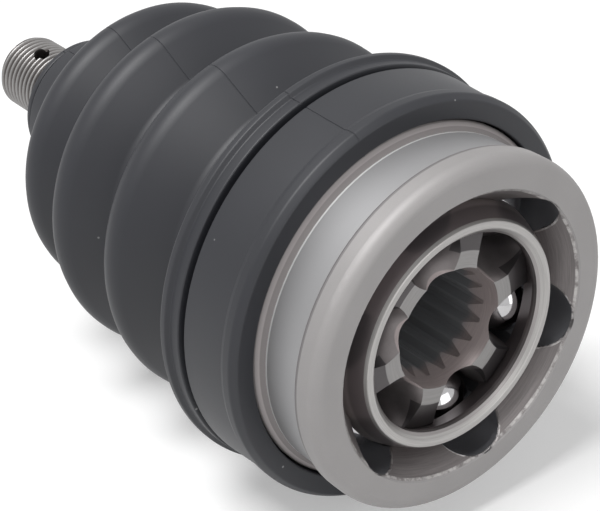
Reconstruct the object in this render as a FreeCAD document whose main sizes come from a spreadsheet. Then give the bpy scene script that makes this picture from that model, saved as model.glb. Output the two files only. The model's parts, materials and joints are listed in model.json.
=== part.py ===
import FreeCAD, Part
import Sketcher
import math
import os

V = FreeCAD.Vector
doc = FreeCAD.newDocument("fixed_joint")

# --- driving dimensions, millimetres and degrees ---
# axis of the joint is Y, the open mouth faces -Y and the stub axle points +Y,
# the origin is the centre of the joint, in the plane of the six balls
dims = [
    # balls, tracks and cutters
    ("ball_count", 6), ("phase_deg", 44.5), ("ball_rad", 8.731), ("pitch_rad", 30.2), ("track_offset", 4.5),
    ("track_gap", 0.06), ("track_front_deg", -62), ("track_back_deg", 33.5), ("race_track_gap", 0.16),
    ("race_track_front_deg", -56), ("race_track_back_deg", 42), ("overrun", 0.5),
    # bell
    ("bell_rad", 45), ("bell_face", -18.45), ("bell_back", -11), ("bell_round", 3), ("seat_rad", 43.7),
    ("flare_start", 0.6), ("flare_end", 2.4), ("body_rad", 45.85), ("body_back", 14), ("tail_rad", 42.6),
    ("tail_back", 22.5), ("neck_rad", 34.5), ("neck_back", 30.5), ("back_round", 4.2),
    ("cavity_rad", 33.3), ("cavity_floor", 29), ("mouth_rad", 37.16), ("mouth_chamfer", 0.86),
    ("flare_pos", -10.5), ("flare_rad", 31.6),
    # stub axle
    ("hub_rad", 24), ("hub_front", 36.5), ("hub_back", 40), ("journal_rad", 17.5), ("journal_back", 60),
    ("spline_front", 63), ("spline_rad", 12.5), ("spline_back", 138), ("stub_teeth", 26),
    ("stub_root_rad", 11.35), ("stub_root_share", 0.42), ("stub_top_rad", 13.1), ("stub_top_share", 1.12),
    ("relief_rad", 9.5), ("relief_front", 139.5), ("relief_back", 141), ("thread_rad", 11),
    ("thread_front", 142.5), ("stub_end", 174.3), ("stub_chamfer", 1.2), ("drill_rad", 3.2),
    ("drill_depth", 5.5), ("cotter_rad", 2.5), ("cotter_pos", 161.8), ("cotter_deg", 104.8),
    # cage
    ("cage_rad", 33.19), ("cage_bore", 29), ("cage_half", 16.1), ("cage_ring_rad", 27.4),
    ("cage_mouth_rad", 25.9), ("cage_lip", 14.6), ("window_wide", 22), ("window_high", 18.36),
    ("window_round", 5), ("window_floor", 14),
    # inner race
    ("race_rad", 28.9), ("race_half", 12.65), ("land_rad", 19.55), ("land_front", -10.35),
    ("land_back", 10.9), ("bore_entry_rad", 15.45), ("bore_front", -5.25), ("bore_back", 9.65),
    ("bore_tip_rad", 13.05), ("bore_root_rad", 14.25), ("bore_root_share", 0.2), ("bore_top_rad", 12.15),
    ("bore_top_share", 1.5), ("bore_teeth", 18),
    # boot: big end
    ("boot_face", 1.3), ("boot_bore", 46.35), ("boot_bore_back", 25.8), ("lip_face_rad", 51),
    ("lip_rad", 52.3), ("lip_front", 2.9), ("lip_back", 5), ("band_rad", 51.9), ("band_front", 6.2),
    ("band_back_rad", 52.5), ("band_back", 19.7), ("groove_rad", 50.3), ("groove_back", 21.1),
    ("shoulder_rad", 52.9), ("shoulder_front", 21.4), ("shoulder_back", 24.4), ("ridge_front", 25.1),
    ("ridge_rad", 54), ("ridge_back", 26.8),
    # boot: bellows, with the wall thicker under the crests
    ("valley_one_rad", 38.5), ("valley_one", 41), ("crest_one_rad", 51.9), ("crest_one", 55.7),
    ("valley_two_rad", 36.5), ("valley_two", 69.5), ("crest_two_rad", 51.6), ("crest_two", 83.3),
    ("valley_three_rad", 33), ("valley_three", 94.5), ("crest_three_rad", 44.8), ("crest_three", 105.6),
    ("valley_round", 3), ("crest_round", 5.2), ("valley_wall", 2.8), ("crest_wall", 4.4),
    # boot: small end
    ("collar_root_rad", 23), ("collar_root", 131), ("collar_rad", 21.2), ("collar_front", 134.5),
    ("collar_back", 139.4), ("collar_groove_rad", 18.2), ("collar_groove_front", 139.8),
    ("collar_groove_back", 141.6), ("collar_end_rad", 19.5), ("collar_end_front", 141.9),
    ("collar_end", 143.9), ("collar_bore", 13.1), ("collar_bore_front", 130),
]
sheet = doc.addObject("Spreadsheet::Sheet", "Sizes")
for row, (name, value) in enumerate(dims, 1):
    sheet.set("A%d" % row, name)
    sheet.set("B%d" % row, str(value))
    sheet.setAlias("B%d" % row, name)
doc.recompute()


def size(name):
    return float(sheet.get(name))


def bind(obj, **formulas):
    for prop, formula in formulas.items():
        obj.setExpression(prop, formula)
    return obj


def is_number(formula):
    return formula.replace(".", "").replace("-", "").isdigit()


def cell(formula):
    # a bare alias, or a formula that already names the sheet
    return formula if "Sizes." in formula or is_number(formula) else "Sizes." + formula


def number(formula):
    # the value of a formula of sums and differences
    total, sign, term = 0.0, 1, ""
    for ch in formula.replace("Sizes.", "") + "+":
        if ch not in "+-":
            term += ch
            continue
        if term:
            total += sign * (float(term) if term[0].isdigit() else size(term))
            sign, term = 1, ""
        sign = -sign if ch == "-" else sign
    return total


def plane(body, role):
    return [f for f in body.Origin.OriginFeatures if f.Role == role][0]


def loop(sketch, corners):
    # closed loop of straight lines, each corner held by two dimensions bound to the sheet
    xy = [(number(a), number(b)) for a, b in corners]
    first = sketch.GeometryCount
    for k in range(len(xy)):
        p, q = xy[k], xy[(k + 1) % len(xy)]
        sketch.addGeometry(Part.LineSegment(V(p[0], p[1], 0), V(q[0], q[1], 0)), False)
    for k in range(len(xy)):
        sketch.addConstraint(Sketcher.Constraint("Coincident", first + k, 2, first + (k + 1) % len(xy), 1))
    for k, (a, b) in enumerate(corners):
        for kind, formula, value in (("DistanceX", a, xy[k][0]), ("DistanceY", b, xy[k][1])):
            index = sketch.addConstraint(Sketcher.Constraint(kind, -1, 1, first + k, 1, value))
            if not is_number(formula):
                sketch.setExpression("Constraints[%d]" % index, cell(formula))
    return sketch


def turned(name, corners):
    # a body turned about Y from a half profile in the XY plane
    body = doc.addObject("PartDesign::Body", name)
    sketch = body.newObject("Sketcher::SketchObject", name + "_profile")
    sketch.AttachmentSupport = [(plane(body, "XY_Plane"), "")]
    sketch.MapMode = "FlatFace"
    loop(sketch, corners)
    doc.recompute()
    turn = body.newObject("PartDesign::Revolution", name + "_turn")
    turn.Profile = sketch
    turn.ReferenceAxis = (sketch, ["V_Axis"])
    turn.Angle = 360
    body.Tip = turn
    doc.recompute()
    return body


def round_edges(body, name, rings, radius):
    # fillet the circular edges that lie at the given radius and position
    base = body.Tip
    picked = []
    for k, edge in enumerate(base.Shape.Edges, 1):
        if edge.Curve.TypeId != "Part::GeomCircle":
            continue
        found = V(edge.Curve.Radius, edge.Curve.Center.y, 0)
        if any(found.distanceToPoint(V(size(rad), size(pos), 0)) < 0.02 for rad, pos in rings):
            picked.append("Edge%d" % k)
    fillet = body.newObject("PartDesign::Fillet", name)
    fillet.Base = (base, picked)
    bind(fillet, Radius=cell(radius))
    body.Tip = fillet
    doc.recompute()
    return body


def outwards(degrees):
    # unit vector away from the Y axis, from +X towards +Z
    return V(math.cos(math.radians(degrees)), 0, math.sin(math.radians(degrees)))


def ball_deg(k):
    # angle of ball k around the Y axis
    return size("phase_deg") + 360 / size("ball_count") * k


def ball_turn(k):
    # the same angle as a formula
    return "(Sizes.phase_deg+360/Sizes.ball_count*%d)*1deg" % k


def polar(radius, angle):
    # point in the XZ plane, angle in radians from +X towards +Z
    return radius * math.cos(angle), radius * math.sin(angle)


def space_corners(teeth, prefix, turn):
    # four corners of one tooth space: narrow at its root, wider than the space at its open side,
    # with both widths as shares of the tooth pitch; turn is in half pitches from straight up
    half = math.pi / size(teeth)
    middle = math.pi / 2 + half * turn
    root, root_half = size(prefix + "_root_rad"), half * size(prefix + "_root_share")
    top, top_half = size(prefix + "_top_rad"), half * size(prefix + "_top_share")
    return [polar(root, middle + root_half), polar(root, middle - root_half),
            polar(top, middle - top_half), polar(top, middle + top_half)]


def tooth_spaces(body, name, corners, middle, length, count):
    # one tooth space pocketed along Y, repeated around the axis
    before = body.Shape.Volume
    sketch = body.newObject("Sketcher::SketchObject", name + "_space")
    sketch.AttachmentSupport = [(plane(body, "XZ_Plane"), "")]
    sketch.MapMode = "FlatFace"
    bind(sketch, **{".AttachmentOffset.Base.z": "-(" + middle + ")"})
    points = [V(x, y, 0) for x, y in corners]
    for k in range(len(points)):
        sketch.addGeometry(Part.LineSegment(points[k], points[(k + 1) % len(points)]), False)
    for k in range(len(points)):
        sketch.addConstraint(Sketcher.Constraint("Coincident", k, 2, (k + 1) % len(points), 1))
        sketch.addConstraint(Sketcher.Constraint("DistanceX", -1, 1, k, 1, points[k].x))
        sketch.addConstraint(Sketcher.Constraint("DistanceY", -1, 1, k, 1, points[k].y))
    doc.recompute()
    pocket = body.newObject("PartDesign::Pocket", name + "_cut")
    pocket.Profile = sketch
    pocket.Type = "Length"
    bind(pocket, Length=length)
    if "SideType" in pocket.PropertiesList:
        pocket.SideType = "Symmetric"
    else:
        pocket.Midplane = True
    body.Tip = pocket
    doc.recompute()
    pattern = body.newObject("PartDesign::PolarPattern", name + "_ring")
    pattern.Originals = [pocket]
    pattern.Axis = (plane(body, "Y_Axis"), [""])
    pattern.Angle = 360
    bind(pattern, Occurrences=cell(count))
    body.Tip = pattern
    doc.recompute()
    if body.Shape.Volume >= before:
        raise RuntimeError(name + " cut nothing")
    return body


def cut(name, base, tools):
    # base less the fused tools
    tool = tools[0]
    if len(tools) > 1:
        tool = doc.addObject("Part::MultiFuse", name + "_tools")
        tool.Shapes = tools
    out = doc.addObject("Part::Cut", name + "_cut")
    out.Base = base
    out.Tool = tool
    doc.recompute()
    return out


def track_tools(prefix, centre, gap, first_deg, last_deg, closed=False):
    # six round-bottomed tracks, each a torus sector in a plane through the Y axis
    out = []
    reach = "sqrt(Sizes.pitch_rad^2+Sizes.track_offset^2)"
    for k in range(int(size("ball_count"))):
        ring = doc.addObject("Part::Torus", "%s_track_%d" % (prefix, k + 1))
        bind(ring, Radius1=reach, Radius2="Sizes.ball_rad+" + gap, Angle3="(%s)-(%s)" % (last_deg, first_deg))
        # the torus is drawn about Z from X: turn its sector, then stand its plane on the track's plane
        spin = FreeCAD.Rotation(V(0, 0, 1), number(first_deg))
        stand = FreeCAD.Rotation(V(0, 1, 0), -ball_deg(k))
        ring.Placement = FreeCAD.Placement(V(0, number(centre), 0), stand * spin)
        bind(ring, **{".Placement.Base.y": centre})
        out.append(ring)
        if closed:
            # the closed end of the track keeps the shape of the cutter
            end = doc.addObject("Part::Sphere", "%s_track_end_%d" % (prefix, k + 1))
            bind(end, Radius="Sizes.ball_rad+" + gap, **{
                ".Placement.Base.x": "%s*cos((%s)*1deg)*cos(%s)" % (reach, last_deg, ball_turn(k)),
                ".Placement.Base.y": "(%s)+%s*sin((%s)*1deg)" % (centre, reach, last_deg),
                ".Placement.Base.z": "%s*cos((%s)*1deg)*sin(%s)" % (reach, last_deg, ball_turn(k))})
            out.append(end)
    return out


def cone_y(name, rad_a, rad_b, start, length):
    # a cone along Y from radius a at start to radius b
    cone = doc.addObject("Part::Cone", name)
    bind(cone, Radius1=cell(rad_a), Radius2=cell(rad_b), Height=cell(length))
    cone.Placement = FreeCAD.Placement(V(0, 0, 0), FreeCAD.Rotation(V(1, 0, 0), -90))
    bind(cone, **{".Placement.Base.y": start})
    return cone


def cylinder_y(name, rad, start, length):
    rod = doc.addObject("Part::Cylinder", name)
    bind(rod, Radius=rad, Height=length)
    rod.Placement = FreeCAD.Placement(V(0, 0, 0), FreeCAD.Rotation(V(1, 0, 0), -90))
    bind(rod, **{".Placement.Base.y": start})
    return rod


def ball(name, rad):
    out = doc.addObject("Part::Sphere", name)
    bind(out, Radius=rad)
    # poles on the Y axis, so that seams stay off the tracks
    out.Placement = FreeCAD.Placement(V(0, 0, 0), FreeCAD.Rotation(V(1, 0, 0), -90))
    return out


parts = {}

# --- outer race: bell and stub axle in one forging ---
forging = turned("forging", [
    ("0", "bell_face"), ("bell_rad", "bell_face"), ("bell_rad", "bell_back"), ("seat_rad", "bell_back"),
    ("seat_rad", "flare_start"), ("body_rad", "flare_end"), ("body_rad", "body_back"),
    ("tail_rad", "tail_back"), ("neck_rad", "neck_back"), ("hub_rad", "hub_front"),
    ("hub_rad", "hub_back"), ("journal_rad", "hub_back"),
    ("journal_rad", "journal_back"), ("spline_rad", "spline_front"), ("spline_rad", "spline_back"),
    ("relief_rad", "relief_front"), ("relief_rad", "relief_back"), ("thread_rad", "thread_front"),
    ("thread_rad", "Sizes.stub_end-Sizes.stub_chamfer"),
    ("Sizes.thread_rad-Sizes.stub_chamfer", "stub_end"), ("0", "stub_end")])
round_edges(forging, "bell_front_round", [("bell_rad", "bell_face")], "bell_round")
round_edges(forging, "bell_back_round", [
    ("body_rad", "body_back"), ("tail_rad", "tail_back"), ("neck_rad", "neck_back")], "back_round")
tooth_spaces(forging, "stub_spline", space_corners("stub_teeth", "stub", 0),
             "(Sizes.spline_front+Sizes.spline_back)/2",
             "Sizes.spline_back-Sizes.spline_front+2*Sizes.overrun", "stub_teeth")

bowl = ball("bowl_sphere", "Sizes.cavity_rad")
floor_cut = cylinder_y("bowl_floor", "Sizes.cavity_rad*2", "Sizes.cavity_floor", "Sizes.cavity_rad")
bowl = cut("bowl", bowl, [floor_cut])
flare = cone_y("mouth_flare", "Sizes.mouth_rad-Sizes.mouth_chamfer", "Sizes.flare_rad",
               "Sizes.bell_face+Sizes.mouth_chamfer",
               "Sizes.flare_pos-Sizes.bell_face-Sizes.mouth_chamfer")
edge = cone_y("mouth_edge", "Sizes.mouth_rad+Sizes.overrun", "Sizes.mouth_rad-Sizes.mouth_chamfer",
              "Sizes.bell_face-Sizes.overrun", "Sizes.mouth_chamfer+Sizes.overrun")
cotter = doc.addObject("Part::Cylinder", "cotter_hole")
bind(cotter, Radius="Sizes.cotter_rad", Height="Sizes.thread_rad*4")
cotter_dir = outwards(size("cotter_deg"))
cotter.Placement = FreeCAD.Placement(cotter_dir * (-2 * size("thread_rad")),
                                     FreeCAD.Rotation(V(0, 0, 1), cotter_dir))
bind(cotter, **{".Placement.Base.y": "Sizes.cotter_pos"})
drill = cone_y("centre_drill", "0", "Sizes.drill_rad", "Sizes.stub_end-Sizes.drill_depth", "drill_depth")
bell_tracks = track_tools("bell", "-Sizes.track_offset", "Sizes.track_gap", "Sizes.track_front_deg",
                          "Sizes.track_back_deg", closed=True)
parts["outer_race"] = cut("outer_race", forging, [bowl, flare, edge, cotter, drill] + bell_tracks)

# --- cage: a spherical ring with six windows ---
ring = turned("cage_ring", [
    ("cage_ring_rad", "-Sizes.cage_half"), ("Sizes.cage_rad+Sizes.overrun", "-Sizes.cage_half"),
    ("Sizes.cage_rad+Sizes.overrun", "cage_half"), ("cage_ring_rad", "cage_half"),
    ("cage_mouth_rad", "cage_lip"), ("cage_mouth_rad", "-Sizes.cage_lip")])
outside = ball("cage_outside", "Sizes.cage_rad")
shell = doc.addObject("Part::Common", "cage_shell")
shell.Base, shell.Tool = ring, outside
inside = ball("cage_inside", "Sizes.cage_bore")
windows = [inside]
for k in range(int(size("ball_count"))):
    box = doc.addObject("Part::Box", "window_%d_block" % (k + 1))
    bind(box, Length="Sizes.window_wide", Width="Sizes.window_high", Height="Sizes.cage_rad")
    doc.recompute()
    soft = doc.addObject("Part::Fillet", "window_%d" % (k + 1))
    soft.Base = box
    upright = [n for n, e in enumerate(box.Shape.Edges, 1) if abs(e.tangentAt(e.FirstParameter).z) > 0.99]
    soft.Edges = [(n, size("window_round"), size("window_round")) for n in upright]
    out_dir = outwards(ball_deg(k))
    turn = FreeCAD.Rotation(V(0, 1, 0).cross(out_dir), V(0, 1, 0), out_dir, "ZXY")
    middle = turn.multVec(V(size("window_wide") / 2, size("window_high") / 2, 0))
    corner = out_dir * size("window_floor") - middle
    soft.Placement = FreeCAD.Placement(corner, turn)
    windows.append(soft)
parts["cage"] = cut("cage", shell, windows)

# --- inner race: spherical outside, six tracks, splined bore ---
hub = turned("hub", [
    ("bore_entry_rad", "-Sizes.race_half"), ("land_rad", "-Sizes.race_half"), ("race_rad", "land_front"),
    ("race_rad", "land_back"), ("land_rad", "race_half"), ("bore_entry_rad", "race_half"),
    ("bore_tip_rad", "bore_back"), ("bore_tip_rad", "bore_front")])
tooth_spaces(hub, "bore_spline", space_corners("bore_teeth", "bore", 1), "0",
             "2*(Sizes.race_half+Sizes.overrun)", "bore_teeth")
race_ball = ball("race_outside", "Sizes.race_rad")
blank = doc.addObject("Part::Common", "race_blank")
blank.Base, blank.Tool = hub, race_ball
parts["inner_race"] = cut("inner_race", blank, track_tools(
    "race", "Sizes.track_offset", "Sizes.race_track_gap", "Sizes.race_track_front_deg",
    "Sizes.race_track_back_deg"))

# --- six balls ---
for k in range(int(size("ball_count"))):
    one = doc.addObject("Part::Sphere", "steel_ball_%d" % (k + 1))
    bind(one, Radius="Sizes.ball_rad")
    bind(one, **{".Placement.Base.x": "Sizes.pitch_rad*cos(%s)" % ball_turn(k),
                 ".Placement.Base.z": "Sizes.pitch_rad*sin(%s)" % ball_turn(k)})
    parts["ball_%d" % (k + 1)] = one

# --- rubber boot, pushed on backwards over the stub ---
crests = [("crest_one_rad", "crest_one"), ("crest_two_rad", "crest_two"),
          ("crest_three_rad", "crest_three")]
valleys = [("valley_one_rad", "valley_one"), ("valley_two_rad", "valley_two"),
           ("valley_three_rad", "valley_three")]
folds = [corner for pair in zip(valleys, crests) for corner in pair]
under = [("Sizes.%s-Sizes.%s_wall" % (rad, rad.split("_")[0]), pos) for rad, pos in folds]
boot = turned("bellows", [
    ("boot_bore", "boot_face"), ("lip_face_rad", "boot_face"), ("lip_rad", "lip_front"),
    ("lip_rad", "lip_back"), ("band_rad", "band_front"), ("band_back_rad", "band_back"),
    ("groove_rad", "band_back"), ("groove_rad", "groove_back"), ("shoulder_rad", "shoulder_front"),
    ("shoulder_rad", "shoulder_back"), ("ridge_rad", "ridge_front"), ("ridge_rad", "ridge_back")] + folds + [
    ("collar_root_rad", "collar_root"), ("collar_rad", "collar_front"), ("collar_rad", "collar_back"),
    ("collar_groove_rad", "collar_groove_front"), ("collar_groove_rad", "collar_groove_back"),
    ("collar_end_rad", "collar_end_front"), ("collar_end_rad", "collar_end"), ("collar_bore", "collar_end"),
    ("collar_bore", "collar_bore_front")] + under[::-1] + [("boot_bore", "boot_bore_back")])
round_edges(boot, "crest_rounds", crests, "crest_round")
round_edges(boot, "valley_rounds", valleys, "valley_round")
parts["boot"] = boot

doc.recompute()

# --- checks, then one file per sub-part ---
for obj in doc.Objects:
    if "Invalid" in obj.State or "Error" in obj.State:
        raise RuntimeError("%s failed: %s" % (obj.Name, obj.State))
os.makedirs("parts", exist_ok=True)
for name, obj in parts.items():
    shape = obj.Shape
    if shape.isNull() or not shape.isValid() or len(shape.Solids) != 1:
        raise RuntimeError("%s is not one valid solid (%d)" % (name, len(shape.Solids)))
    obj.Label = name
    shape.exportStep("parts/%s.step" % name)
    box = shape.BoundBox
    print("%-11s volume %9.0f  x %.2f %.2f  y %.2f %.2f  z %.2f %.2f" % (
        name, shape.Volume, box.XMin, box.XMax, box.YMin, box.YMax, box.ZMin, box.ZMax))
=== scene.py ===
import json
import math

import bmesh
import bpy
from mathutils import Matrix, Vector


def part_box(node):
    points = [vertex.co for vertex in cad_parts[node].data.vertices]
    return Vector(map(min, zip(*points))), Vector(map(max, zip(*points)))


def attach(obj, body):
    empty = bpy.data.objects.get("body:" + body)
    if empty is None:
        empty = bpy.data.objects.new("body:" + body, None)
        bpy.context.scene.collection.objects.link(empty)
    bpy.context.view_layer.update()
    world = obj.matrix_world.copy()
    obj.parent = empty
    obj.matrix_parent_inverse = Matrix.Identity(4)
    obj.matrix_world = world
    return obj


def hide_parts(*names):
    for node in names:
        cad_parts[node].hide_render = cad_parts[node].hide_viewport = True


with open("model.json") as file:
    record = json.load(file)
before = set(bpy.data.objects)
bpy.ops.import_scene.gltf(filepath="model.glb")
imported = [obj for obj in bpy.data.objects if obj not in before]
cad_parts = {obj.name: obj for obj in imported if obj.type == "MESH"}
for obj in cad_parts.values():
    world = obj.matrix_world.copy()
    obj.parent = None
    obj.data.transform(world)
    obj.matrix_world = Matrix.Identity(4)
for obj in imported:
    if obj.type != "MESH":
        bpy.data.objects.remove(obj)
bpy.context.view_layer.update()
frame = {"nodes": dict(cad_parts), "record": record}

mm = 0.001
mounts = {mount["name"]: mount for mount in frame["record"]["mounts"]}
print("frame loaded:", len(frame["nodes"]), "nodes")


# node graphs written as sums

class Wire:
    def __init__(self, graph, socket):
        self.graph = graph
        self.socket = socket

    def __add__(self, other):
        return self.graph.maths("ADD", self, other)

    def __radd__(self, other):
        return self.graph.maths("ADD", other, self)

    def __sub__(self, other):
        return self.graph.maths("SUBTRACT", self, other)

    def __rsub__(self, other):
        return self.graph.maths("SUBTRACT", other, self)

    def __mul__(self, other):
        return self.graph.maths("MULTIPLY", self, other)

    def __rmul__(self, other):
        return self.graph.maths("MULTIPLY", other, self)

    def __truediv__(self, other):
        return self.graph.maths("DIVIDE", self, other)


class Graph:
    def __init__(self, tree):
        self.tree = tree

    def node(self, kind, settings=None, inputs=None, output=0):
        made = self.tree.nodes.new(kind)
        for key, value in (settings or {}).items():
            setattr(made, key, value)
        for key, value in (inputs or {}).items():
            if isinstance(value, Wire):
                self.tree.links.new(value.socket, made.inputs[key])
            else:
                made.inputs[key].default_value = value
        return Wire(self, made.outputs[output])

    def split(self, vector):
        parts = self.node("ShaderNodeSeparateXYZ", {}, {0: vector}).socket.node
        return [Wire(self, parts.outputs[k]) for k in range(3)]

    def maths(self, operation, first, second=0.0):
        return self.node("ShaderNodeMath", {"operation": operation}, {0: first, 1: second})

    def smooth(self, value, low, high):  # 0 below low, 1 above high
        return self.node("ShaderNodeMapRange", {"interpolation_type": "SMOOTHSTEP"},
                         {"Value": value, "From Min": low, "From Max": high})

    def between(self, value, low, high, soft):  # 1 from low to high, 0 outside
        return self.smooth(value, low - soft, low + soft) * (1 - self.smooth(value, high - soft, high + soft))

    def blend(self, amount, first, second):
        return self.node("ShaderNodeMix", {"data_type": "RGBA"},
                         {0: amount, 6: self.paint(first), 7: self.paint(second)}, 2)

    def paint(self, colour):
        return colour if isinstance(colour, Wire) else (*colour, 1)


class Finish(Graph):
    # one material: its place on the object and its shader
    def __init__(self, name, fixed):
        self.material = bpy.data.materials.new(name)
        self.material.use_nodes = True
        super().__init__(self.material.node_tree)
        self.shader = self.tree.nodes["Principled BSDF"]
        for key, value in fixed.items():
            self.shader.inputs[key].default_value = value
        self.place = self.node("ShaderNodeTexCoord", output="Object")
        self.across, self.along, self.upward = self.split(self.place)
        self.radius = self.maths("SQRT", self.across * self.across + self.upward * self.upward)
        self.turn = self.maths("ARCTAN2", self.upward, self.across)

    def noise(self, scale, detail=3.0, roughness=0.55, place=None):
        return self.node("ShaderNodeTexNoise", {}, {
            "Vector": place or self.place, "Scale": scale, "Detail": detail, "Roughness": roughness})

    def mottle(self, amount, colour, low, high):  # between a darker and a lighter tone of one colour
        return self.blend(amount, tone(colour, low), tone(colour, high))

    def vector(self, x, y, z):
        return self.node("ShaderNodeCombineXYZ", {}, {0: x, 1: y, 2: z})

    def turned(self, ringsPerMetre, streak=6.0):
        # lathe marks: fine rings in radius and length, drawn out along the turn
        place = self.vector(self.radius * ringsPerMetre, self.along * ringsPerMetre, self.turn * streak)
        return self.noise(1.0, 4.0, 0.65, place)

    def bump(self, height, distance, strength=1.0, normal=None):
        inputs = {"Height": height, "Distance": distance, "Strength": strength}
        if normal:
            inputs["Normal"] = normal
        return self.node("ShaderNodeBump", {}, inputs)

    def feed(self, **links):
        for key, value in links.items():
            socket = self.shader.inputs[key.replace("_", " ")]
            if isinstance(value, Wire):
                self.tree.links.new(value.socket, socket)
            else:
                socket.default_value = value
        return self.material


def tone(colour, factor):
    return tuple(factor * part for part in colour)


def inMetres(marks):
    return {key: [value * mm for value in span] for key, span in marks.items()}


balls = ["ball_%d" % k for k in range(1, 7)]
mergeUnder = 0.001 * mm


# small mesh helpers

def addPiece(name, mesh, material=None):
    piece = bpy.data.objects.new(name, mesh)
    bpy.context.scene.collection.objects.link(piece)
    if material:
        mesh.materials.clear()
        mesh.materials.append(material)
    return piece


def roundedLine(corners, arcSteps=6):
    # corners are (along, radius, rounding); each rounded corner becomes an arc
    line = []
    count = len(corners)
    for k in range(count):
        here = Vector(corners[k][:2])
        rounding = corners[k][2]
        before = (Vector(corners[k - 1][:2]) - here)
        after = (Vector(corners[(k + 1) % count][:2]) - here)
        if rounding <= 0:
            line.append(here)
            continue
        half = before.angle(after) / 2
        reach = min(rounding / math.tan(half), 0.48 * before.length, 0.48 * after.length)
        rounding = reach * math.tan(half)
        centre = here + (before.normalized() + after.normalized()).normalized() * rounding / math.sin(half)
        start = here + before.normalized() * reach - centre
        end = here + after.normalized() * reach - centre
        sweep = start.angle_signed(end)
        for step in range(arcSteps + 1):
            angle = -sweep * step / arcSteps
            line.append(centre + Vector((start.x * math.cos(angle) - start.y * math.sin(angle),
                                         start.x * math.sin(angle) + start.y * math.cos(angle))))
    return line


def lathe(name, line, angles, dent=None):
    # closed ring of a closed line, in millimetres, around the Y axis
    made = bmesh.new()
    rings = []
    for angle in angles:
        ring = []
        for along, radius in line:
            r = radius - (dent(angle, along, radius) if dent else 0)
            ring.append(made.verts.new((r * math.cos(angle) * mm, along * mm, r * math.sin(angle) * mm)))
        rings.append(ring)
    for k in range(len(rings)):
        nextRing = rings[(k + 1) % len(rings)]
        for i in range(len(line)):
            j = (i + 1) % len(line)
            made.faces.new((rings[k][i], rings[k][j], nextRing[j], nextRing[i]))
    bmesh.ops.recalc_face_normals(made, faces=made.faces)
    mesh = bpy.data.meshes.new(name)
    made.to_mesh(mesh)
    made.free()
    return mesh


def smoothUnder(mesh, degrees):
    for face in mesh.polygons:
        face.use_smooth = True
    mesh.set_sharp_from_angle(angle=math.radians(degrees))


# finishes

# depths from the bell's face, radii, and heights over the cone of its mouth, in millimetres
bell = {
    "coneFrom": 0.86, "coneRadius": 36.3, "coneSlope": 0.663, "soft": 0.1, "fineSoft": 0.05, "rimSoft": 0.03,
    "marks": {"faceEnd": (0.2, 0.5), "wall": (42.8, 43.2), "bowlEnd": (48, 49), "offCone": (0.34, 0.42),
              "trackFrom": (30, 30.5), "bowlFrom": (8.0, 8.6), "rim": (0.04, 0.32), "lip": (0.3, 0.9),
              "outside": (42.9, 43.1), "seat": (7.0, 18.95), "seatEdgeHighlight": (18.5, 18.95),
              "flangeEdgeShade": (6.25, 7.3), "flareEdgeHighlight": (19.9, 20.6), "skinFrom": (18.95, 19.15)},
    # the near white colour for the seat's rear edge is a painted highlight
    "colours": {"blasted": (0.32, 0.309, 0.307), "seat": (0.34, 0.338, 0.344), "seatHighlight": (0.8, 0.8, 0.8),
                # the dark colour for the flange's back edge is painted shade
                "skin": (0.21, 0.194, 0.193), "flangeShade": (0.2, 0.19, 0.192), "turned": (0.17, 0.156, 0.155),
                "worn": (0.5, 0.485, 0.475), "track": (0.18, 0.182, 0.195), "bowl": (0.23, 0.215, 0.217)}}


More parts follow.
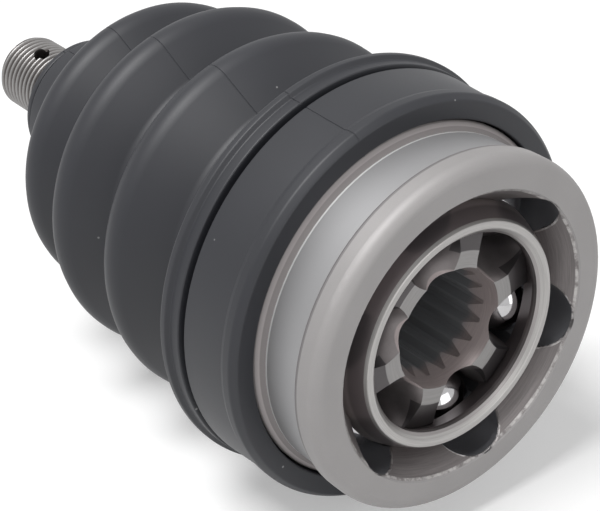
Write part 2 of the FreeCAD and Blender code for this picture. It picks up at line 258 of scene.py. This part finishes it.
def forgedFinish():
    # blasted forging, ground seat, turned mouth with fine rings, dark hardened tracks
    colours, at = bell["colours"], inMetres(bell["marks"])
    soft, fineSoft, rimSoft = [bell[key] * mm for key in ("soft", "fineSoft", "rimSoft")]
    steel = Finish("forgedSteel", {})
    along = steel.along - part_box("outer_race")[0].y
    coneRadius = bell["coneRadius"] * mm - bell["coneSlope"] * (along - bell["coneFrom"] * mm)
    overCone = steel.radius - coneRadius
    inside = steel.smooth(along, *at["faceEnd"]) * (1 - steel.smooth(steel.radius, *at["wall"]))
    inside = inside * (1 - steel.smooth(along, *at["bowlEnd"]))
    track = inside * steel.smooth(overCone, *at["offCone"]) * steel.smooth(steel.radius, *at["trackFrom"])
    bowl = inside * steel.smooth(along, *at["bowlFrom"])
    rim = inside * steel.between(overCone, *at["rim"], rimSoft)
    lip = inside * steel.between(along, *at["lip"], soft)
    grain = steel.noise(5200, 2.0, 0.6)
    cloud = steel.noise(60, 4.0, 0.6)
    patch = steel.noise(340, 4.0, 0.7)
    rings = steel.turned(2600, 3.0)
    outside = steel.smooth(steel.radius, *at["outside"])
    seat = outside * steel.between(along, *at["seat"], soft)
    # painted highlight: a light band along the seat's rear edge, next to the flare
    seatEdgeHighlight = outside * steel.between(along, *at["seatEdgeHighlight"], soft)
    # painted shade: a dark band on the flange's back edge, over the step down to the seat
    flangeEdgeShade = outside * steel.between(along, *at["flangeEdgeShade"], fineSoft)
    # painted highlight: a lighter band along the flare's rear rim
    flareEdgeHighlight = steel.between(along, *at["flareEdgeHighlight"], soft)
    skin = steel.smooth(along, *at["skinFrom"])
    blasted = steel.mottle(cloud * 0.5 + grain * 0.5, colours["blasted"], 0.82, 1.16)
    turned = steel.mottle(rings, colours["turned"], 0.5, 1.5)
    worn = steel.blend(steel.smooth(patch, 0.35, 0.65), colours["turned"], colours["worn"])
    colour = steel.blend(seat, blasted, colours["seat"])
    # the seat's rear edge is painted near white, a painted highlight
    colour = steel.blend(seatEdgeHighlight, colour, colours["seatHighlight"])
    colour = steel.blend(skin, colour, colours["skin"])
    # a lighter copy of the skin colour along the flare's rear rim, a painted highlight
    colour = steel.blend(flareEdgeHighlight, colour, tone(colours["skin"], 1.7))
    # the flange's back edge is painted dark, a painted shade
    colour = steel.blend(flangeEdgeShade, colour, colours["flangeShade"])
    colour = steel.blend(inside, colour, turned)
    colour = steel.blend(bowl, colour, colours["bowl"])
    colour = steel.blend(track, colour, colours["track"])
    colour = steel.blend(steel.maths("MAXIMUM", rim * (1 - bowl), lip) * 0.8, colour, worn)
    dark = steel.maths("MAXIMUM", track, bowl)
    rough = 0.56 + grain * 0.1 - inside * 0.12 - dark * 0.08 - seat * 0.12
    metal = 0.5 + inside * 0.35 - dark * 0.4 + seat * 0.15
    sand = steel.bump(grain, 0.02 * mm, 0.5)
    normal = steel.bump(rings * inside, 0.05 * mm, 0.35, sand)
    return steel.feed(Base_Color=colour, Roughness=rough, Normal=normal, Metallic=metal)


# depths from the cage's front and radii, in millimetres
cageLook = {
    "marks": {"ringFace": (0.05, 0.15), "bevelDepth": (1.5, 1.7), "bevelRadius": (28.3, 28.6),
              "outer": (30.6, 31)},
    "colours": {"ground": (0.36, 0.35, 0.342), "dark": (0.34, 0.302, 0.298), "inner": (0.19, 0.166, 0.169)}}


def cageFinish():
    # ground front ring, polished dark sphere
    colours, at = cageLook["colours"], inMetres(cageLook["marks"])
    steel = Finish("cageSteel", {"Metallic": 0.75})
    depth = steel.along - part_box("cage")[0].y
    ringFace = 1 - steel.smooth(depth, *at["ringFace"])
    bevel = 1 - steel.smooth(depth, *at["bevelDepth"])
    bevel = bevel * (1 - steel.smooth(steel.radius, *at["bevelRadius"]))
    outer = steel.smooth(steel.radius, *at["outer"])
    rings = steel.turned(5200, 2.0)
    cloud = steel.noise(90, 4.0, 0.6)
    colour = steel.blend(outer, colours["inner"], steel.mottle(cloud, colours["dark"], 0.7, 1.25))
    ground = steel.mottle(rings, colours["ground"], 0.6, 1.5)
    colour = steel.blend(steel.maths("MAXIMUM", ringFace, bevel * 0.55), colour, ground)
    rough = 0.25 + cloud * 0.1 + ringFace * 0.08
    return steel.feed(Base_Color=colour, Roughness=rough, Normal=steel.bump(rings, 0.03 * mm, 0.3))


# depths from the race's front and radii, in millimetres
raceLook = {
    "marks": {"land": (0.03, 0.08), "shoulderDepth": (2.4, 2.6), "shoulderRadius": (19.4, 19.6),
              "bore": (15.5, 15.8), "deep": (5.5, 8.5)},
    "colours": {"land": (0.25, 0.243, 0.24), "body": (0.2, 0.182, 0.182), "mouth": (0.36, 0.31, 0.305),
                # the near black colour of the race's front shoulder is painted shade
                "bore": (0.19, 0.197, 0.205), "shoulderShade": (0.06, 0.056, 0.058)}}


def raceFinish():
    # ground lands, dark hardened body with painted shade on its front shoulder, brownish bore mouth
    colours, at = raceLook["colours"], inMetres(raceLook["marks"])
    steel = Finish("raceSteel", {})
    depth = steel.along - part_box("inner_race")[0].y
    land = 1 - steel.smooth(depth, *at["land"])
    # painted shade: a dark band on the race's front shoulder, inside the cage
    shoulderShade = 1 - steel.smooth(depth, *at["shoulderDepth"])
    shoulderShade = shoulderShade * steel.smooth(steel.radius, *at["shoulderRadius"])
    bore = 1 - steel.smooth(steel.radius, *at["bore"])
    deep = bore * steel.smooth(depth, *at["deep"])
    cloud = steel.noise(140, 4.0, 0.6)
    rings = steel.turned(3800, 2.0)
    # the front shoulder is painted near black, a painted shade
    colour = steel.blend(shoulderShade * 0.85, steel.mottle(cloud, colours["body"], 0.6, 1.5), colours["shoulderShade"])
    colour = steel.blend(bore, colour, steel.mottle(rings, colours["mouth"], 0.7, 1.35))
    colour = steel.blend(deep, colour, colours["bore"])
    colour = steel.blend(land, colour, steel.mottle(rings, colours["land"], 0.75, 1.3))
    rough = 0.3 + cloud * 0.1 + land * 0.08
    return steel.feed(Base_Color=colour, Roughness=rough, Metallic=0.7 - bore * 0.3 - deep * 0.35,
                      Normal=steel.bump(rings, 0.03 * mm, 0.3))


def ballFinish():
    steel = Finish("ballSteel", {"Metallic": 1.0})
    haze = steel.noise(300, 3.0, 0.6)
    colour = steel.blend(haze, (0.4, 0.395, 0.4), (0.52, 0.515, 0.52))
    return steel.feed(Base_Color=colour, Roughness=0.06 + haze * 0.06)


def rubberFinish():
    # matt moulded rubber with a faint bloom and a little dust
    colours = {"rubber": (0.009, 0.0098, 0.013), "bloom": (0.02, 0.021, 0.027), "dust": (0.4, 0.4, 0.4)}
    rubber = Finish("bootRubber", {"Metallic": 0.0, "IOR": 1.5, "Specular IOR Level": 0.5})
    cloud = rubber.noise(28, 5.0, 0.6)
    grain = rubber.noise(2600, 2.0, 0.6)
    specks = rubber.node("ShaderNodeTexVoronoi", {"feature": "F1"},
                         {"Vector": rubber.place, "Scale": 150.0, "Randomness": 1.0})
    speck = (1 - rubber.smooth(specks, 0.045, 0.07)) * rubber.smooth(rubber.noise(46, 2.0), 0.56, 0.6)
    colour = rubber.blend(cloud, colours["rubber"], colours["bloom"])
    colour = rubber.blend(speck * 0.7, colour, colours["dust"])
    rough = 0.42 + cloud * 0.12 + grain * 0.06 + speck * 0.2
    normal = rubber.bump(grain, 0.02 * mm, 0.35, rubber.bump(cloud, 0.3 * mm, 0.15))
    return rubber.feed(Base_Color=colour, Roughness=rough, Normal=normal)


def threadFinish():
    steel = Finish("threadSteel", {"Metallic": 1.0})
    cloud = steel.noise(220, 5.0, 0.65)
    grain = steel.noise(3000, 2.0, 0.6)
    # painted shade: the thread roots are painted dark brown
    rootShade = 1 - steel.smooth(steel.radius, 10.2 * mm, 10.9 * mm)
    colour = steel.blend(cloud, (0.22, 0.214, 0.211), (0.34, 0.333, 0.328))
    # dark brown in the thread roots, a painted shade
    colour = steel.blend(rootShade * 0.8, colour, (0.09, 0.074, 0.07))
    return steel.feed(Base_Color=colour, Roughness=0.36 + grain * 0.12,
                      Normal=steel.bump(grain, 0.03 * mm, 0.4))


forged = forgedFinish()
caged = cageFinish()
raced = raceFinish()
balled = ballFinish()
rubbery = rubberFinish()
threaded = threadFinish()
print("finishes made")


# boot: a moulded bellows, pushed on backwards over the stub

boot = {
    "face": 1.3, "faceRadius": 51.0, "lipFront": 2.9, "lipRadius": 52.3, "lipBack": 5.0,
    "bandFront": 6.2, "bandRadius": 51.9, "bandBack": 19.7, "bandBackRadius": 52.5, "bandStep": 19.8,
    "grooveRadius": 50.3, "grooveBack": 21.1,
    "shoulderFront": 21.4, "shoulderRadius": 52.9, "shoulderBack": 24.4,
    "ridgeFront": 25.1, "ridgeRadius": 54.0, "ridgeBack": 26.8,
    "valleys": ((41.0, 38.5), (69.5, 36.5), (93.0, 32.0)), "valleyRound": 3.0,
    "crests": ((55.7, 51.9), (83.3, 52.0), (105.6, 44.8)), "crestRound": 5.2,
    "collarRoot": 122.5, "collarRootRadius": 22.7, "collarFront": 134.5, "collarRadius": 21.2,
    "collarBack": 139.4, "collarGroove": 18.2, "grooveFront": 139.8,
    "endFront": 141.6, "endStep": 141.9, "endRadius": 19.5, "end": 143.9,
    "bore": 46.35, "boreBack": 25.8, "collarBore": 13.1, "collarBoreFront": 121.5,
    "valleyWall": 2.8, "crestWall": 4.4, "turns": 300, "smooth": 40,
    "seamAngle": 109.0, "seamDepth": 0.15, "seamWidth": 0.15, "seamFromBore": 3.0, "seamClear": 0.7,
    "seamSteps": (-0.5, -0.22, -0.08, 0.08, 0.22, 0.5),
    # corners by place along the axis, radius and rounding
    "bigEnd": (("face", "faceRadius", 0.8), ("lipFront", "lipRadius", 1.2), ("lipBack", "lipRadius", 0.6),
               ("bandFront", "bandRadius", 0.5), ("bandBack", "bandBackRadius", 0.4),
               ("bandStep", "grooveRadius", 0.3), ("grooveBack", "grooveRadius", 0.3),
               ("shoulderFront", "shoulderRadius", 0.4), ("shoulderBack", "shoulderRadius", 0.5),
               ("ridgeFront", "ridgeRadius", 0.6), ("ridgeBack", "ridgeRadius", 1.0)),
    "smallEnd": (("collarRoot", "collarRootRadius", 1.5), ("collarFront", "collarRadius", 0.7),
                 ("collarBack", "collarRadius", 0.7), ("grooveFront", "collarGroove", 0.4),
                 ("endFront", "collarGroove", 0.4), ("endStep", "endRadius", 0.6), ("end", "endRadius", 0.7),
                 ("end", "collarBore", 0.4), ("collarBoreFront", "collarBore", 1.5)),
    "openEnd": (("boreBack", "bore", 0.8), ("face", "bore", 0.4))}


def bootLine():
    # round the wall: over the bellows to the small end, and back under them
    def corners(rows):
        return [(boot[along], boot[radius], rounding) for along, radius, rounding in boot[rows]]

    over, under = [], []
    for valley, crest in zip(boot["valleys"], boot["crests"]):
        over += [(*valley, boot["valleyRound"]), (*crest, boot["crestRound"])]
        under += [(valley[0], valley[1] - boot["valleyWall"], boot["valleyRound"]),
                  (crest[0], crest[1] - boot["crestWall"], boot["crestRound"] / 2)]
    return roundedLine(corners("bigEnd") + over + corners("smallEnd") + under[::-1] + corners("openEnd"))


def fromSeam(angle):
    return min(abs(math.remainder(angle - math.radians(seam), 2 * math.pi))
               for seam in (boot["seamAngle"], boot["seamAngle"] + 180))


def bootAngles():
    # even turns, with close steps on both sides of the two mould seams
    angles = [2 * math.pi * k / boot["turns"] for k in range(boot["turns"])]
    angles = [angle for angle in angles if fromSeam(angle) > math.radians(boot["seamClear"])]
    for seam in (boot["seamAngle"], boot["seamAngle"] + 180):
        angles += [math.radians(seam + step) % (2 * math.pi) for step in boot["seamSteps"]]
    return sorted(angles)


def seamDent(angle, along, radius):
    outside = radius > boot["collarBore"] + boot["seamFromBore"]
    return boot["seamDepth"] if outside and fromSeam(angle) < math.radians(boot["seamWidth"]) else 0


def makeBoot():
    mesh = lathe("bellowsBoot", bootLine(), bootAngles(), seamDent)
    smoothUnder(mesh, boot["smooth"])
    piece = addPiece("bellowsBoot", mesh, rubbery)
    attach(piece, "boot")
    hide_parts("boot")


makeBoot()
print("boot made")


# stub thread: a helix on the forging's plain end

thread = {"pitch": 2.0, "depth": 1.1, "front": 142.5, "radius": mounts["stub_thread"]["dims"]["r_mm"],
          "fade": 2.4, "endBevel": 1.2,
          "cotter": mounts["cotter_hole"]["dims"]["r_mm"], "cutLength": 40.0, "turnSteps": 160,
          "stepsPerPitch": 14, "rootFlat": 0.08, "crestFlat": 0.9, "smooth": 50}


def threadTree(size):
    tree = bpy.data.node_groups.new("threadEnd", "GeometryNodeTree")
    face = tree.interface
    face.new_socket("Geometry", in_out="OUTPUT", socket_type="NodeSocketGeometry")
    for name in ("Pitch", "Depth", "Radius", "Length", "Fade", "Bevel", "Start"):
        face.new_socket(name, in_out="INPUT", socket_type="NodeSocketFloat")
    graph = Graph(tree)
    entry = graph.node("NodeGroupInput").socket.node
    pitch, depth, radius, length, fade, bevel, start = [Wire(graph, entry.outputs[k]) for k in range(7)]
    rows = int(size["length"] / size["pitch"] * size["stepsPerPitch"])
    grid = graph.node("GeometryNodeMeshCylinder", {"fill_type": "NGON"}, {
        "Vertices": size["turnSteps"], "Side Segments": rows, "Radius": 1.0, "Depth": 1.0})
    x, y, z = graph.split(graph.node("GeometryNodeInputPosition"))
    along = (z + 0.5) * length
    turns = graph.maths("ARCTAN2", y, x) / (2 * math.pi)
    wave = graph.maths("PINGPONG", along / pitch - turns, 0.5) * 2  # 0 at a root, 1 at a crest
    flank = graph.smooth(wave, size["rootFlat"], size["crestFlat"])
    cutAway = (1 - flank) * depth * graph.smooth(along, 0.0, fade)
    fromEnd = length - along
    nose = graph.maths("MAXIMUM", bevel - fromEnd, 0.0)
    reach = radius - graph.maths("MAXIMUM", cutAway, nose)
    point = graph.node("ShaderNodeCombineXYZ", {}, {0: x * reach, 1: start + along, 2: y * reach})
    moved = graph.node("GeometryNodeSetPosition", {}, {"Geometry": grid, "Position": point})
    real = graph.node("GeometryNodeRealizeInstances", {}, {"Geometry": moved})
    done = graph.node("GeometryNodeSetMaterial", {}, {"Geometry": real, "Material": threaded})
    last = tree.nodes.new("NodeGroupOutput")
    tree.links.new(done.socket, last.inputs[0])
    return tree


def bakeTree(name, tree, values):
    # runs a tree with its inputs set by socket identifier and keeps a plain mesh
    holder = addPiece(name + "Holder", bpy.data.meshes.new(name + "Holder"))
    modifier = holder.modifiers.new("tree", "NODES")
    modifier.node_group = tree
    sockets = {item.name: item.identifier for item in tree.interface.items_tree if item.in_out == "INPUT"}
    for key, value in values.items():
        modifier[sockets[key]] = value
    ready = holder.evaluated_get(bpy.context.evaluated_depsgraph_get())
    mesh = bpy.data.meshes.new_from_object(ready)
    mesh.name = name
    holder.modifiers.remove(modifier)
    bpy.data.objects.remove(holder)
    return mesh


def turnedOutwards(mesh):
    made = bmesh.new()
    made.from_mesh(mesh)
    bmesh.ops.remove_doubles(made, verts=made.verts, dist=mergeUnder)
    bmesh.ops.recalc_face_normals(made, faces=made.faces)
    made.to_mesh(mesh)
    made.free()


def cutWith(piece, radius, middle, direction, length):
    # a round hole through a piece
    made = bmesh.new()
    bmesh.ops.create_cone(made, cap_ends=True, segments=48, radius1=radius, radius2=radius, depth=length)
    made.transform(direction.to_track_quat("Z", "Y").to_matrix().to_4x4())
    bmesh.ops.translate(made, verts=made.verts, vec=middle)
    mesh = bpy.data.meshes.new("holeTool")
    made.to_mesh(mesh)
    made.free()
    tool = addPiece("holeTool", mesh)
    modifier = piece.modifiers.new("hole", "BOOLEAN")
    modifier.operation = "DIFFERENCE"
    modifier.solver = "EXACT"
    modifier.object = tool
    ready = piece.evaluated_get(bpy.context.evaluated_depsgraph_get())
    mesh = bpy.data.meshes.new_from_object(ready)
    piece.modifiers.remove(modifier)
    piece.data = mesh
    bpy.data.objects.remove(tool)


def makeThread():
    start = thread["front"]
    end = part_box("outer_race")[1].y / mm
    mesh = bakeTree("stubThread", threadTree(dict(thread, length=end - start)), {
        "Pitch": thread["pitch"] * mm, "Depth": thread["depth"] * mm, "Radius": thread["radius"] * mm,
        "Length": (end - start) * mm, "Fade": thread["fade"] * mm, "Bevel": thread["endBevel"] * mm,
        "Start": start * mm})
    turnedOutwards(mesh)
    piece = addPiece("stubThread", mesh, threaded)
    middle, direction = [Vector(mounts["cotter_hole"][key]) for key in ("pos_m", "axis")]
    cutWith(piece, thread["cotter"] * mm, middle, direction, thread["cutLength"] * mm)
    piece.data.materials.clear()
    piece.data.materials.append(threaded)
    smoothUnder(piece.data, thread["smooth"])
    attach(piece, "outer_race")


def keepNormals(mesh):
    # the solid's corner normals, stored so that merging and cutting carry them along
    kept = mesh.attributes.new("keptNormal", "FLOAT_VECTOR", "CORNER")
    for entry, corner in zip(kept.data, mesh.corner_normals):
        entry.vector = corner.vector


def giveNormals(mesh):
    # new faces have a zero there and shade by themselves
    for face in mesh.polygons:
        face.use_smooth = True
    mesh.normals_split_custom_set([entry.vector for entry in mesh.attributes["keptNormal"].data])
    mesh.attributes.remove(mesh.attributes["keptNormal"])


def breakEdges(made, edges, width, steps):
    # a small rounding along sharp edges; its faces shade by themselves
    result = bmesh.ops.bevel(made, geom=edges, offset=width * mm, offset_type="OFFSET", segments=steps,
                             profile=0.5, affect="EDGES", clamp_overlap=False)
    kept = made.loops.layers.float_vector["keptNormal"]
    for face in result["faces"]:
        for corner in face.loops:
            corner[kept] = (0, 0, 0)


edges = {"trackOffset": 4.5, "trackGap": 0.06, "trackBreak": 0.45, "trackDeepest": 6.0, "near": 0.03,
         "flangeRadius": 45.0, "flangeBack": -11.0, "flangeBreak": 0.8, "sharp": 20.0}


def bellTracks():
    # each track in the bell is a tube bent round a centre on the axis, in its ball's plane
    found = []
    for ball in balls:
        low, high = [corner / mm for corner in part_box(ball)]
        out = Vector((low.x + high.x, 0, low.z + high.z)) / 2
        tube = (high.y - low.y) / 2 + edges["trackGap"]
        found.append((out.normalized(), math.hypot(out.length, edges["trackOffset"]), tube))
    return found


def trackMiss(point, track):
    # distance of a point from the surface of one track
    out, reach, tube = track
    place = point / mm + Vector((0, edges["trackOffset"], 0))
    around = math.hypot(place.dot(out), place.y) - reach
    return abs(math.hypot(around, place.dot(out.cross(Vector((0, 1, 0))))) - tube)


def isSharp(edge):
    return len(edge.link_faces) == 2 and edge.calc_face_angle() > math.radians(edges["sharp"])


def onFlange(vert):
    radius = math.hypot(vert.co.x, vert.co.z) / mm
    return (abs(radius - edges["flangeRadius"]) < edges["near"]
            and abs(vert.co.y / mm - edges["flangeBack"]) < edges["near"])


def onTrack(edge, tracks):
    if max(vert.co.y for vert in edge.verts) > edges["trackDeepest"] * mm:
        return False
    return any(all(trackMiss(vert.co, track) < edges["near"] for vert in edge.verts) for track in tracks)


def makeForging():
    # the forging without its plain thread end, which the helix stands for
    mesh = frame["nodes"]["outer_race"].data.copy()
    mesh.name = "bellAndStub"
    keepNormals(mesh)
    made = bmesh.new()
    made.from_mesh(mesh)
    bmesh.ops.remove_doubles(made, verts=made.verts, dist=mergeUnder)
    limit = (thread["front"] - 0.01) * mm
    tail = [face for face in made.faces if min(vert.co.y for vert in face.verts) > limit]
    bmesh.ops.delete(made, geom=tail, context="FACES")
    rim = [edge for edge in made.edges if edge.is_boundary]
    bmesh.ops.contextual_create(made, geom=rim)
    flange = [edge for edge in made.edges if isSharp(edge) and all(onFlange(vert) for vert in edge.verts)]
    breakEdges(made, flange, edges["flangeBreak"], 3)
    tracks = bellTracks()
    rims = [edge for edge in made.edges if isSharp(edge) and onTrack(edge, tracks)]
    breakEdges(made, rims, edges["trackBreak"], 1)
    print("edges broken:", len(flange), "on the flange,", len(rims), "on the tracks")
    made.to_mesh(mesh)
    made.free()
    giveNormals(mesh)
    piece = addPiece("bellAndStub", mesh, forged)
    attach(piece, "outer_race")
    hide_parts("outer_race")


makeThread()
makeForging()
print("bell and stub made")


# cage: its two rings stand a little further out than the solid's

cage = {"sphere": 33.19, "from": 13.0, "taller": 0.8, "tighter": 0.45, "edge": 0.01, "ringBreak": 0.22}


def makeCage():
    mesh = frame["nodes"]["cage"].data.copy()
    mesh.name = "ballCage"
    keepNormals(mesh)
    made = bmesh.new()
    made.from_mesh(mesh)
    bmesh.ops.remove_doubles(made, verts=made.verts, dist=mergeUnder)
    for vert in made.verts:
        if abs(vert.co.y) < cage["from"] * mm:
            continue
        out = Vector((vert.co.x, 0, vert.co.z))
        along = vert.co.y + math.copysign(cage["taller"] * mm, vert.co.y)
        radius = out.length - cage["tighter"] * mm
        if abs(vert.co.length - cage["sphere"] * mm) < cage["edge"] * mm:
            radius = math.sqrt((cage["sphere"] * mm) ** 2 - along ** 2)
        vert.co = out.normalized() * radius + Vector((0, along, 0))
    front = min(vert.co.y for vert in made.verts)
    ring = [edge for edge in made.edges if isSharp(edge)
            and all(abs(abs(vert.co.y) + front) < cage["edge"] * mm for vert in edge.verts)]
    breakEdges(made, ring, cage["ringBreak"], 2)
    made.to_mesh(mesh)
    made.free()
    giveNormals(mesh)
    piece = addPiece("ballCage", mesh, caged)
    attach(piece, "cage")
    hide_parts("cage")


makeCage()
print("cage made")


# carried-over pieces take their finish

def coat(node, material):
    mesh = frame["nodes"][node].data
    for k in range(len(mesh.materials)):
        mesh.materials[k] = material


coat("inner_race", raced)
for ball in balls:
    coat(ball, balled)
print("cage, race and balls finished")


# studio

studio = {"floorSize": 6.0, "floorColour": (0.7, 0.7, 0.7), "floorGlow": 0.34, "world": 0.32,
          "keyPlace": (-0.38, 0.0, 0.925), "keyDistance": 1.6, "keySize": (0.7, 0.7), "keyPower": 26.0,
          "fillPlace": (0.05, -0.95, 0.3), "fillDistance": 2.0, "fillSize": (1.2, 1.2), "fillPower": 8.0}
view = {"azimuth": -38.56, "elevation": 30.10, "distance": 406.1, "lens": 105.0,
        "target": (-21.2, 16.4, 14.1)}


def addLamp(name, place, distance, size, power):
    lamp = bpy.data.lights.new(name, "AREA")
    lamp.shape = "RECTANGLE"
    lamp.size, lamp.size_y = size
    lamp.energy = power
    holder = bpy.data.objects.new(name, lamp)
    bpy.context.scene.collection.objects.link(holder)
    direction = Vector(place).normalized()
    middle = Vector((0, 0.05, 0))
    holder.location = middle + direction * distance
    holder.rotation_euler = direction.to_track_quat("Z", "Y").to_euler()


def seenBy(graph):
    # 1 for what the eye, metal and glass see, 0 for light on the object
    rays = graph.node("ShaderNodeLightPath").socket.node.outputs
    return sum(Wire(graph, rays["Is %s Ray" % kind]) for kind in ("Camera", "Glossy", "Transmission"))


def makeStudio():
    scene = bpy.context.scene
    scene.view_settings.view_transform = "Standard"
    world = bpy.data.worlds.new("studio")
    world.use_nodes = True
    background = world.node_tree.nodes["Background"]
    background.inputs["Color"].default_value = (1, 1, 1, 1)
    strength = seenBy(Graph(world.node_tree)) * (1 - studio["world"]) + studio["world"]
    world.node_tree.links.new(strength.socket, background.inputs["Strength"])
    scene.world = world
    low = min(piece[0].z for piece in [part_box("boot"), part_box("outer_race")])
    made = bmesh.new()
    bmesh.ops.create_grid(made, x_segments=1, y_segments=1, size=studio["floorSize"] / 2)
    bmesh.ops.translate(made, verts=made.verts, vec=(0, 0, low))
    mesh = bpy.data.meshes.new("studioFloor")
    made.to_mesh(mesh)
    made.free()
    paper = Finish("floorPaper", {"Base Color": (*studio["floorColour"], 1), "Roughness": 0.9,
                                  "Specular IOR Level": 0.1, "Emission Color": (1, 1, 1, 1)})
    paper.feed(Emission_Strength=seenBy(paper) * studio["floorGlow"])
    addPiece("studioFloor", mesh, paper.material)
    for lamp in ("key", "fill"):
        addLamp(lamp + "Lamp", *[studio[lamp + word] for word in ("Place", "Distance", "Size", "Power")])


def makeCamera():
    lens = bpy.data.cameras.new("viewCamera")
    lens.lens = view["lens"]
    lens.sensor_width = 36
    lens.clip_start = 0.01
    camera = bpy.data.objects.new("viewCamera", lens)
    bpy.context.scene.collection.objects.link(camera)
    turn, rise = math.radians(view["azimuth"]), math.radians(view["elevation"])
    back = Vector((math.sin(turn) * math.cos(rise), -math.cos(turn) * math.cos(rise), math.sin(rise)))
    camera.location = Vector(view["target"]) * mm + back * view["distance"] * mm
    camera.rotation_euler = back.to_track_quat("Z", "Y").to_euler()
    bpy.context.scene.camera = camera


makeStudio()
makeCamera()
print("studio and camera ready")
